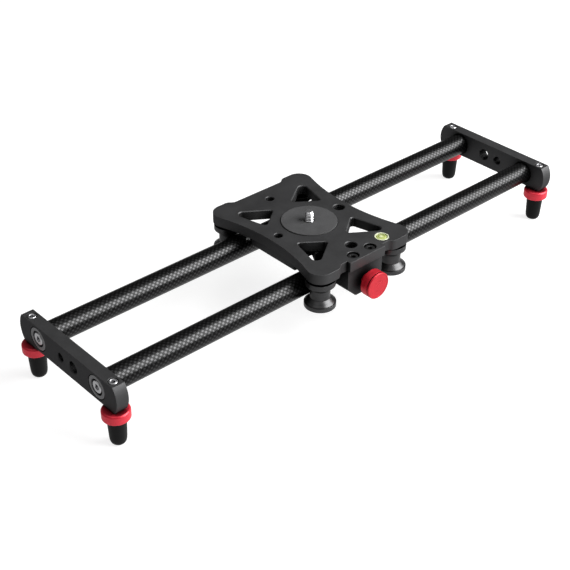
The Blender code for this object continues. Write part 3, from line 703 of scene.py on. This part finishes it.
def make_stud(node, spot):
    """A threaded stud with a plain collar at its top, which holds a hexagon socket."""
    low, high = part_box(node)
    crest = size(node).x / 2
    top = high.z
    collar = top - 2.2 * MM
    rod = threaded_rod(f"{node}_thread", crest, PITCH_M6, low.z, collar, spot)
    stand_for(rod, node, FINISH["steel"])
    socket = 1.5 * MM
    chamfer = 0.45 * MM
    rings = ((crest - 0.6 * MM, collar), (crest, collar + 0.3 * MM), (crest, top - chamfer),
             (crest - chamfer, top), (socket + 0.3 * MM, top),
             (socket, top - 0.3 * MM, "hexagon"), (socket, top - 1.9 * MM, "hexagon"))
    stand_for(turned(f"{node}_top", rings, spot, UP, 0.12 * MM), node, FINISH["steel"])


def make_lock_ring(node, spot, bore):
    low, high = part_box(node)
    outer = size(node).x / 2
    edge = 0.9 * MM
    mouth = 0.5 * MM
    rings = ((bore, low.z), (outer - edge, low.z), (outer, low.z + edge), (outer, high.z - edge),
             (outer - edge, high.z), (bore + mouth, high.z), (bore, high.z - mouth))
    piece = turned(f"{node}_body", rings, spot, UP, 0.4 * MM, bored=True)
    # The rings take the lighter red, which paints in the light they catch.
    stand_for(piece, node, FINISH["ring"])


def make_foot(node, spot, bore):
    """A rubber cup that narrows downwards, with a blind bore for the stud."""
    low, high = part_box(node)
    bottom = low.z
    rings = ((0.6 * MM, bottom), (2.8 * MM, bottom), (4.5 * MM, bottom + 0.9 * MM),
             (5.25 * MM, bottom + 2.6 * MM), (5.55 * MM, bottom + 5 * MM), (6.2 * MM, high.z),
             (bore, high.z), (bore, high.z - 12.0 * MM))
    piece = turned(f"{node}_body", rings, spot, UP, 1.0 * MM, crease=SOFT_CREASE)
    stand_for(piece, node, FINISH["foot"])


def make_leg(corner):
    stud = f"leg_stud_{corner}"
    spot = (middle(stud).x, middle(stud).y, 0)
    bore = size(stud).x / 2 + GAP
    make_stud(stud, spot)
    make_lock_ring(f"lock_ring_{corner}", spot, bore)
    make_foot(f"rubber_foot_{corner}", spot, bore)


def make_rails():
    make_end_plate("left", -1)
    make_end_plate("right", 1)
    make_tube("tube_front")
    make_tube("tube_rear")
    for corner, x_sign in CORNERS:
        make_tube_end(corner, x_sign)
        make_leg(corner)


# ---------------------------------------------------------------- carriage

DECK_LOW, DECK_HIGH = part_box("carriage_plate")
DECK_TOP = DECK_HIGH.z
DECK_BOTTOM = DECK_LOW.z
CARRIAGE = Vector((middle("carriage_plate").x, middle("tube_rear").y - TUBE_Y, 0))
WAIST = 36.5 * MM
LOBE = (34.7 * MM, 48.0 * MM)
LOBE_RADIUS = 9.6 * MM
LOBE_FLAT_END = 28.0 * MM
STRAIGHT_SIDE = 20.5 * MM
DECK_HALF_WIDTH = 54.4 * MM
TAB = (16.5 * MM, 57.7 * MM)
WINDOW = ((26.1 * MM, 15.0 * MM, 2.0 * MM),
          (33.9 * MM, 45.4 * MM, 3.5 * MM),
          (8.4 * MM, 28.0 * MM, 2.0 * MM))
SIDE_HOLE_X = 28.8 * MM
END_HOLE_Y = 41.3 * MM
HOLE_CHAMFER = 0.3 * MM
SCREW_SEAT_RADIUS = 4.2 * MM
SCREW_SEAT_DEPTH = 4.4 * MM
SCREW_HOLE = 2.3 * MM
CAMERA_SCREW_HOLE = 3.475 * MM


def deck_quarter():
    """From the middle of the waist, round one lobe, to where the straight side starts.

    The lobe's arc touches the waist's, and two equal arcs step down from its flat to the side.
    """
    inset = WAIST - LOBE[0]
    waist_radius = (inset ** 2 + LOBE[1] ** 2 - LOBE_RADIUS ** 2) / (2 * (LOBE_RADIUS - inset))
    centre = WAIST + waist_radius
    join = math.atan2(LOBE[1], centre - LOBE[0])
    waist = arc((centre, 0), waist_radius, math.pi, math.pi - join, 14)
    lobe = arc(LOBE, LOBE_RADIUS, -join, RIGHT, 36)
    reach = LOBE[1] + LOBE_RADIUS
    length = LOBE_FLAT_END - STRAIGHT_SIDE
    turn = 2 * math.atan2(reach - DECK_HALF_WIDTH, length)
    radius = length / (2 * math.sin(turn))
    outer = arc((LOBE_FLAT_END, reach - radius), radius, RIGHT, RIGHT + turn, 8)
    inner = arc((STRAIGHT_SIDE, DECK_HALF_WIDTH + radius), radius, turn - RIGHT, -RIGHT, 8)
    return waist + lobe[1:] + outer + inner[1:]


def deck_outline():
    """Four quarters, mirrored from one, and a tab in the middle of the front side."""
    quarter = deck_quarter()
    rear = quarter + [(-x, y) for x, y in reversed(quarter)]
    front_left = [(-x, -y) for x, y in quarter[1:]]
    front_right = [(x, -y) for x, y in reversed(quarter[1:])]
    half, reach = TAB
    tab = [(-half, -DECK_HALF_WIDTH), (-half, -reach), (half, -reach), (half, -DECK_HALF_WIDTH)]
    return rear + front_left + rounded(tab, 0.6 * MM) + front_right


def window_outline(flip_x, flip_y):
    """One window, mirrored by signs; a single mirroring turns the order of its corners round."""
    corners = [(flip_x * x, flip_y * y, radius) for x, y, radius in WINDOW]
    if flip_x * flip_y < 0:
        corners.reverse()
    return filleted(corners)


def window_path():
    """A window's wall, as outward offsets of its outline: a chamfer above and a finer one below."""
    wide = 0.55 * MM
    fine = 0.3 * MM
    return [(wide, DECK_TOP), (0.0, DECK_TOP - wide), (0.0, DECK_BOTTOM + fine), (fine, DECK_BOTTOM)]


def deck_tripod_holes():
    """A 1/4 inch thread at the rear and the left, and a 3/8 inch one at the right and the front."""
    small = threaded_hole(SMALL_HOLE, PITCH_QUARTER_INCH, DECK_BOTTOM, DECK_TOP, HOLE_CHAMFER)
    big = threaded_hole(BIG_HOLE, PITCH_THREE_EIGHTHS, DECK_BOTTOM, DECK_TOP, HOLE_CHAMFER)
    return [(circle_loop(0, END_HOLE_Y), small, "through"),
            (circle_loop(-SIDE_HOLE_X, 0), small, "through"),
            (circle_loop(SIDE_HOLE_X, 0), big, "through"),
            (circle_loop(0, -END_HOLE_Y), big, "through")]


def deck_screw_seats():
    floor = DECK_TOP - SCREW_SEAT_DEPTH
    edge = 0.3 * MM
    path = [(SCREW_SEAT_RADIUS + edge, DECK_TOP), (SCREW_SEAT_RADIUS, DECK_TOP - edge),
            (SCREW_SEAT_RADIUS, floor), (SCREW_HOLE, floor), (SCREW_HOLE, DECK_BOTTOM)]
    spots = [middle(f"brake_screw_{side}") - CARRIAGE for side in ("left", "right")]
    return [(circle_loop(spot.x, spot.y), path, "through") for spot in spots]


def deck_pad_seat():
    radius = size("camera_pad").x / 2 + GAP
    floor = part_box("camera_pad")[0].z - GAP
    path = [(radius, DECK_TOP), (radius, floor),
            (CAMERA_SCREW_HOLE, floor), (CAMERA_SCREW_HOLE, DECK_BOTTOM)]
    return circle_loop(0, 0, FINE), path, "through"


def deck_level_seat():
    spot = middle("level_cup") - CARRIAGE
    radius = size("level_cup").x / 2 + GAP
    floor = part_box("level_cup")[0].z - GAP
    edge = 0.25 * MM
    path = [(radius + edge, DECK_TOP), (radius, DECK_TOP - edge), (radius, floor)]
    return circle_loop(spot.x, spot.y), path, "floor"


def make_deck():
    openings = [(outline_loop(window_outline(flip_x, flip_y)), window_path(), "through")
                for flip_x in (-1, 1) for flip_y in (-1, 1)]
    openings += deck_tripod_holes() + deck_screw_seats() + [deck_pad_seat(), deck_level_seat()]
    outer = outline_loop(deck_outline())
    piece = plate("carriage_plate_body", outer, DECK_BOTTOM, DECK_TOP, 0.45 * MM, openings, CARRIAGE)
    stand_for(piece, "carriage_plate", FINISH["black"])


def middle_block_outline(left, right, wing):
    """From above: a stem with a flared wing on each side, and a crossbar below the left waist."""
    stem = 15.9 * MM
    wing_root = 12 * MM
    wing_tip = 17 * MM
    crossbar_end = -25 * MM
    crossbar = 22.6 * MM
    rear = [(right, stem), (wing_root, stem), (wing_tip, wing), (-wing_tip, wing),
            (-wing_root, stem), (crossbar_end, stem), (crossbar_end, crossbar), (left, crossbar)]
    corners = rear + [(x, -y) for x, y in reversed(rear)]
    return rounded(corners, 1.0 * MM, closed=True, steps=4)


def make_middle_block():
    """The block, with a pocket for the camera screw's head, and its own two screws from below."""
    low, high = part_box("middle_block")
    outline = middle_block_outline(low.x - CARRIAGE.x, high.x - CARRIAGE.x,
                                   size("middle_block").y / 2)
    pocket = eased_hole(8.0 * MM, low.z, high.z, HOLE_CHAMFER)
    way = eased_hole(3.4 * MM, low.z, high.z, HOLE_CHAMFER)
    openings = [(circle_loop(0, 0), pocket, "through"),
                (circle_loop(-SIDE_HOLE_X, 0), way, "through")]
    seat = low.z + 3.1 * MM
    seat_radius = 3.9 * MM
    screw_hole = [(SCREW_HOLE, high.z), (SCREW_HOLE, seat), (seat_radius, seat), (seat_radius, low.z)]
    for side in ("left", "right"):
        node = f"block_screw_{side}"
        spot = middle(node)
        hole = circle_loop(spot.x - CARRIAGE.x, spot.y - CARRIAGE.y)
        openings.append((hole, screw_hole, "through"))
        place = (spot.x, spot.y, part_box(node)[0].z + BLOCK_SCREW[HEAD_HEIGHT])
        socket_screw(node, place, DOWN, FINISH["steel"], PITCH_M4, 8 * MM, BLOCK_SCREW)
    piece = plate("middle_block_body", outline_loop(outline), low.z, high.z, 0.4 * MM,
                  openings, CARRIAGE)
    stand_for(piece, "middle_block", FINISH["black"])


def make_camera_pad():
    low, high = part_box("camera_pad")
    radius = size("camera_pad").x / 2
    bore = 3.6 * MM
    rings = ((bore, low.z), (radius, low.z), (radius, high.z), (bore, high.z))
    piece = turned("camera_pad_body", rings, CARRIAGE, UP, 0.35 * MM, bored=True)
    stand_for(piece, "camera_pad", FINISH["pad"])


def make_camera_screw():
    """A captive 1/4 inch screw, its head below with a hexagon socket that opens downwards."""
    low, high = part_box("camera_screw")
    crest = 3.175 * MM
    head = size("camera_screw").x / 2
    head_top = low.z + 4 * MM
    thread = threaded_rod("camera_screw_thread", crest, PITCH_QUARTER_INCH, head_top, high.z,
                          CARRIAGE, point=0.2 * MM, steps=64)
    stand_for(thread, "camera_screw", FINISH["steel"])
    socket = 2.5 * MM
    edge = 0.5 * MM
    rings = ((socket, low.z + 2.2 * MM, "hexagon"), (socket, low.z + 0.3 * MM, "hexagon"),
             (socket + 0.4 * MM, low.z), (head - edge, low.z), (head, low.z + edge),
             (head, head_top), (crest - edge, head_top))
    piece = turned("camera_screw_head", rings, CARRIAGE, UP, 0.2 * MM)
    stand_for(piece, "camera_screw", FINISH["steel"])


def make_level():
    """A round cup with a domed vial in it, which carries a dark ring and an off-centre bubble."""
    low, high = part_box("level_cup")
    spot = (middle("level_cup").x, middle("level_cup").y, 0)
    outer = size("level_cup").x / 2
    inner = outer - 0.9 * MM
    edge = 0.2 * MM
    rings = ((outer - edge, low.z), (outer, low.z + edge), (outer, high.z), (inner, high.z),
             (inner, low.z + 1 * MM))
    cup = turned("level_cup_body", rings, spot, UP, 0.25 * MM)
    stand_for(cup, "level_cup", FINISH["level_body"])
    low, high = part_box("level_vial")
    radius = size("level_vial").x / 2
    rings = ((radius, low.z), (radius, high.z - 0.55 * MM), (radius * 0.85, high.z - 0.25 * MM),
             (radius * 0.5, high.z - 0.08 * MM), (radius * 0.15, high.z - 0.02 * MM))
    fluid = turned("level_vial_fluid", rings, spot, UP, 0.3 * MM, crease=SOFT_CREASE)
    stand_for(fluid, "level_vial", FINISH["level_fluid"])
    make_level_mark(spot, high.z)
    make_level_bubble((spot[0] - 0.3 * MM, spot[1] + 0.3 * MM, 0), high.z)


def make_level_mark(spot, top):
    radius = 2.1 * MM
    wire = 0.16 * MM
    angles = [TURN * step / 8 - TURN / 4 for step in range(8)]
    rings = [(radius + wire * math.cos(angle), top - 0.12 * MM + wire * math.sin(angle))
             for angle in angles]
    piece = turned("level_vial_ring", rings, spot, bored=True, crease=SOFTEST_CREASE)
    stand_for(piece, "level_vial", FINISH["mark"])


def make_level_bubble(spot, top):
    tip = 0.05 * MM
    base = top - 0.3 * MM
    rings = ((tip, base), (1.3 * MM, base), (1.15 * MM, top), (0.5 * MM, top + 0.12 * MM),
             (tip, top + 0.14 * MM))
    piece = turned("level_vial_bubble", rings, spot, UP, 0.4 * MM, crease=SOFTEST_CREASE)
    stand_for(piece, "level_vial", FINISH["bubble"])


def roller_rings(low, high, lower, upper):
    """The V groove's flanks at 45 degrees, a stepped rim below, and the bearing's seat inside."""
    neck = 6.86 * MM
    half_neck = 3.3 * MM
    centre = middle("tube_front").z
    rim = 0.75 * MM
    lower_edge = centre - half_neck - (lower - rim - neck)
    upper_edge = centre + half_neck + (upper - neck)
    shelf = lower_edge - 0.35 * MM
    seat = 5.5 * MM
    seat_top = centre + 6.0 * MM
    bore = 4.0 * MM
    dish = high - 0.4 * MM
    return ((seat, low), (lower, low), (lower, shelf), (lower - rim, shelf),
            (lower - rim, lower_edge), (neck, centre - half_neck), (neck, centre + half_neck),
            (upper, upper_edge), (upper, high), (upper - 2.2 * MM, high), (upper - 2.6 * MM, dish),
            (4.4 * MM, dish), (bore, high - 0.7 * MM), (bore, seat_top), (seat, seat_top))


def make_roller(corner):
    """A roller with its bearing, its spacer, and the axle bolt whose head is below."""
    node = f"roller_{corner}"
    low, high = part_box(node)
    spot = (middle(node).x, middle(node).y, 0)
    rings = roller_rings(low.z, high.z, size(node).x / 2, 10.3 * MM)
    stand_for(turned(f"{node}_body", rings, spot, UP, 0.15 * MM, bored=True), node, FINISH["roller"])
    bore = 2.8 * MM
    bearing = f"roller_bearing_{corner}"
    low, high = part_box(bearing)
    outer = 5.2 * MM
    shield = low.z + 0.3 * MM
    rings = ((bore, low.z), (3.6 * MM, low.z), (3.7 * MM, shield), (4.5 * MM, shield),
             (4.6 * MM, low.z), (outer, low.z), (outer, high.z), (bore, high.z))
    piece = turned(f"{bearing}_body", rings, spot, UP, 0.1 * MM, bored=True)
    stand_for(piece, bearing, FINISH["steel"])
    spacer = f"roller_spacer_{corner}"
    low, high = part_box(spacer)
    outer = 3.7 * MM
    rings = ((bore, low.z), (outer, low.z), (outer, high.z), (bore, high.z))
    piece = turned(f"{spacer}_body", rings, spot, UP, 0.15 * MM, bored=True)
    stand_for(piece, spacer, FINISH["alloy"])
    bolt = f"axle_bolt_{corner}"
    low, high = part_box(bolt)
    head = M5_SCREW[HEAD_HEIGHT]
    place = (spot[0], spot[1], low.z + head)
    length = high.z - low.z - head
    socket_screw(bolt, place, DOWN, FINISH["steel"], PITCH_M5, length, M5_SCREW)


def make_brake_block():
    """A block that narrows below, bored for the spindle and notched for the deck's front hole."""
    low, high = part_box("brake_block")
    axis_z = middle("brake_knob").z
    half = size("brake_block").x / 2
    foot_half = 8.2 * MM
    corner_z = -3.0 * MM
    right = [(foot_half, low.z - axis_z), (half, corner_z), (half, high.z - axis_z)]
    outline = rounded(right + [(-x, z) for x, z in reversed(right)], 0.8 * MM, closed=True)
    depth = size("brake_block").y
    thread_bore = 2.8 * MM
    shoe_bore = 4.3 * MM
    step = 6 * MM
    edge = 0.3 * MM
    bore = [(thread_bore + edge, depth), (thread_bore, depth - edge), (thread_bore, step),
            (shoe_bore, step), (shoe_bore, 0)]
    piece = plate("brake_block_body", outline_loop(outline), 0, depth, 0.4 * MM,
                  [(circle_loop(0, 0), bore, "through")],
                  (CARRIAGE.x, high.y, axis_z), ALONG_MINUS_Y)
    notch_radius = 5 * MM
    notch = turned("cutter", ((notch_radius, -5.3 * MM), (notch_radius, 6 * MM)),
                   (CARRIAGE.x, CARRIAGE.y - END_HOLE_Y, high.z), steps=MEDIUM)
    drill(piece, notch)
    stand_for(piece, "brake_block", FINISH["black"])


def make_brake():
    """The block with its two screws, and the shoe that the spindle presses on the front tube."""
    make_brake_block()
    for side in ("left", "right"):
        node = f"brake_screw_{side}"
        place = (middle(node).x, middle(node).y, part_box(node)[1].z - BRAKE_SCREW[HEAD_HEIGHT])
        socket_screw(node, place, UP, FINISH["black_steel"], PITCH_M4, 12 * MM, BRAKE_SCREW)
    radius = size("brake_shoe").x / 2
    half = size("brake_shoe").y / 2
    edge = 0.3 * MM
    rings = ((radius - edge, -half), (radius, edge - half), (radius, half))
    shoe = turned("brake_shoe_body", rings, middle("brake_shoe"), ALONG_MINUS_Y, 0.2 * MM)
    stand_for(shoe, "brake_shoe", FINISH["nylon"])
    spindle = size("brake_spindle")
    rod = threaded_rod("brake_spindle_thread", spindle.x / 2, PITCH_M5, -spindle.y / 2,
                       spindle.y / 2, middle("brake_spindle"), ALONG_MINUS_Y)
    stand_for(rod, "brake_spindle", FINISH["steel"])


def make_knob():
    """The knob with its hub behind, a groove near the front edge, and a slightly sunk face."""
    axis = middle("brake_knob")
    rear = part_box("brake_knob")[1].y
    radius = size("brake_knob").z / 2
    length = size("brake_knob").y
    back = length - 7.5 * MM
    groove = length - 1.45 * MM
    half_groove = 0.28 * MM
    groove_floor = radius - 0.8 * MM
    edge = 0.3 * MM
    face = length - 0.12 * MM
    hub = 4.6 * MM
    bore = 2.8 * MM
    rings = ((bore, length - 3.5 * MM), (bore, 0), (hub, 0), (hub, back), (radius - edge, back),
             (radius, back + edge), (radius, groove - half_groove),
             (groove_floor, groove - half_groove), (groove_floor, groove + half_groove),
             (radius, groove + half_groove), (radius, length - edge), (radius - edge, length),
             (radius - 1.2 * MM, length), (radius - 1.35 * MM, face), (1.0 * MM, face))
    piece = turned("brake_knob_body", rings, (axis.x, rear, axis.z), ALONG_MINUS_Y, 0.1 * MM)
    stand_for(piece, "brake_knob", FINISH["red"])
    paint(frame["nodes"]["knob_set_screw"], FINISH["steel"])


def make_carriage():
    make_deck()
    make_middle_block()
    make_camera_pad()
    make_camera_screw()
    make_level()
    for corner, _ in CORNERS:
        make_roller(corner)
    make_brake()
    make_knob()


# ---------------------------------------------------------------- studio

def make_camera():
    """The calibrated view: the place and angles that line the tubes and end plates up."""
    azimuth = math.radians(42.205)
    drop = math.radians(34.069)
    roll = math.radians(0.294)
    level_ahead = Vector((math.sin(azimuth), math.cos(azimuth), 0))
    ahead = level_ahead * math.cos(drop) - Vector((0, 0, math.sin(drop)))
    level_right = Vector((math.cos(azimuth), -math.sin(azimuth), 0))
    level_up = level_right.cross(ahead)
    right = math.cos(roll) * level_right + math.sin(roll) * level_up
    up = right.cross(ahead)
    rotation = Matrix((right, up, -ahead)).transposed().to_4x4()
    place = (-0.4923, -0.51085, 0.4847)
    data = bpy.data.cameras.new("camera")
    data.sensor_width = 36
    data.lens = 75.4
    data.clip_end = 20
    camera = bpy.data.objects.new("camera", data)
    bpy.context.scene.collection.objects.link(camera)
    camera.matrix_world = Matrix.Translation(place) @ rotation
    bpy.context.scene.camera = camera


def soft_light(name, place, aim, width, watts):
    """A square area light at place that faces aim."""
    data = bpy.data.lights.new(name, "AREA")
    data.shape = "RECTANGLE"
    data.size = width
    data.size_y = width
    data.energy = watts
    light = bpy.data.objects.new(name, data)
    bpy.context.scene.collection.objects.link(light)
    facing = (Vector(aim) - Vector(place)).to_track_quat("-Z", "Y")
    light.matrix_world = Matrix.Translation(place) @ facing.to_matrix().to_4x4()


def make_floor():
    """A wide pale floor, which reflections don't see."""
    half_width = 6
    floor_mesh = bpy.data.meshes.new("floor")
    shape = bmesh.new()
    bmesh.ops.create_grid(shape, x_segments=1, y_segments=1, size=half_width)
    shape.to_mesh(floor_mesh)
    shape.free()
    floor = bpy.data.objects.new("floor", floor_mesh)
    bpy.context.scene.collection.objects.link(floor)
    nodes = new_material("floor_white")
    nodes.set(Base_Color=(0.4, 0.4, 0.4, 1), Roughness=0.9, Specular_IOR_Level=0.0,
              Emission_Color=(1, 1, 1, 1), Emission_Strength=0.8)
    floor_mesh.materials.append(nodes.owner)
    floor.visible_glossy = False


def make_studio():
    make_floor()
    soft_light("key", place=(0.75, -0.8, 0.85), aim=(0, 0, 0.03), width=1.2, watts=38)
    soft_light("top", place=(-0.3, 0.1, 1.5), aim=(0, 0, 0), width=1.6, watts=7)
    make_world()
    bpy.context.scene.view_settings.view_transform = "Standard"


def make_world():
    """A dim room above and a pale sweep below, which is brightest towards the front right."""
    world = bpy.data.worlds.new("studio")
    nodes = Nodes(world, "Background")
    x, y, z = nodes.split(nodes.add("ShaderNodeTexCoord").outputs["Generated"])
    to_right = nodes.math("MULTIPLY", x, 0.67)
    to_rear = nodes.math("MULTIPLY", y, 0.74)
    to_front_right = nodes.math("SUBTRACT", to_right, to_rear)
    sweep = nodes.spread(to_front_right, 0.3, 0.68, -0.8, 0.8)
    below = nodes.spread(z, 1.0, 0.0, -0.35, 0.05)
    room = 0.08
    strength = nodes.math("ADD", nodes.math("MULTIPLY", sweep, below), room)
    nodes.set(Color=(1, 1, 1, 1), Strength=strength)
    bpy.context.scene.world = world


make_rails()
make_carriage()
make_camera()
make_studio()
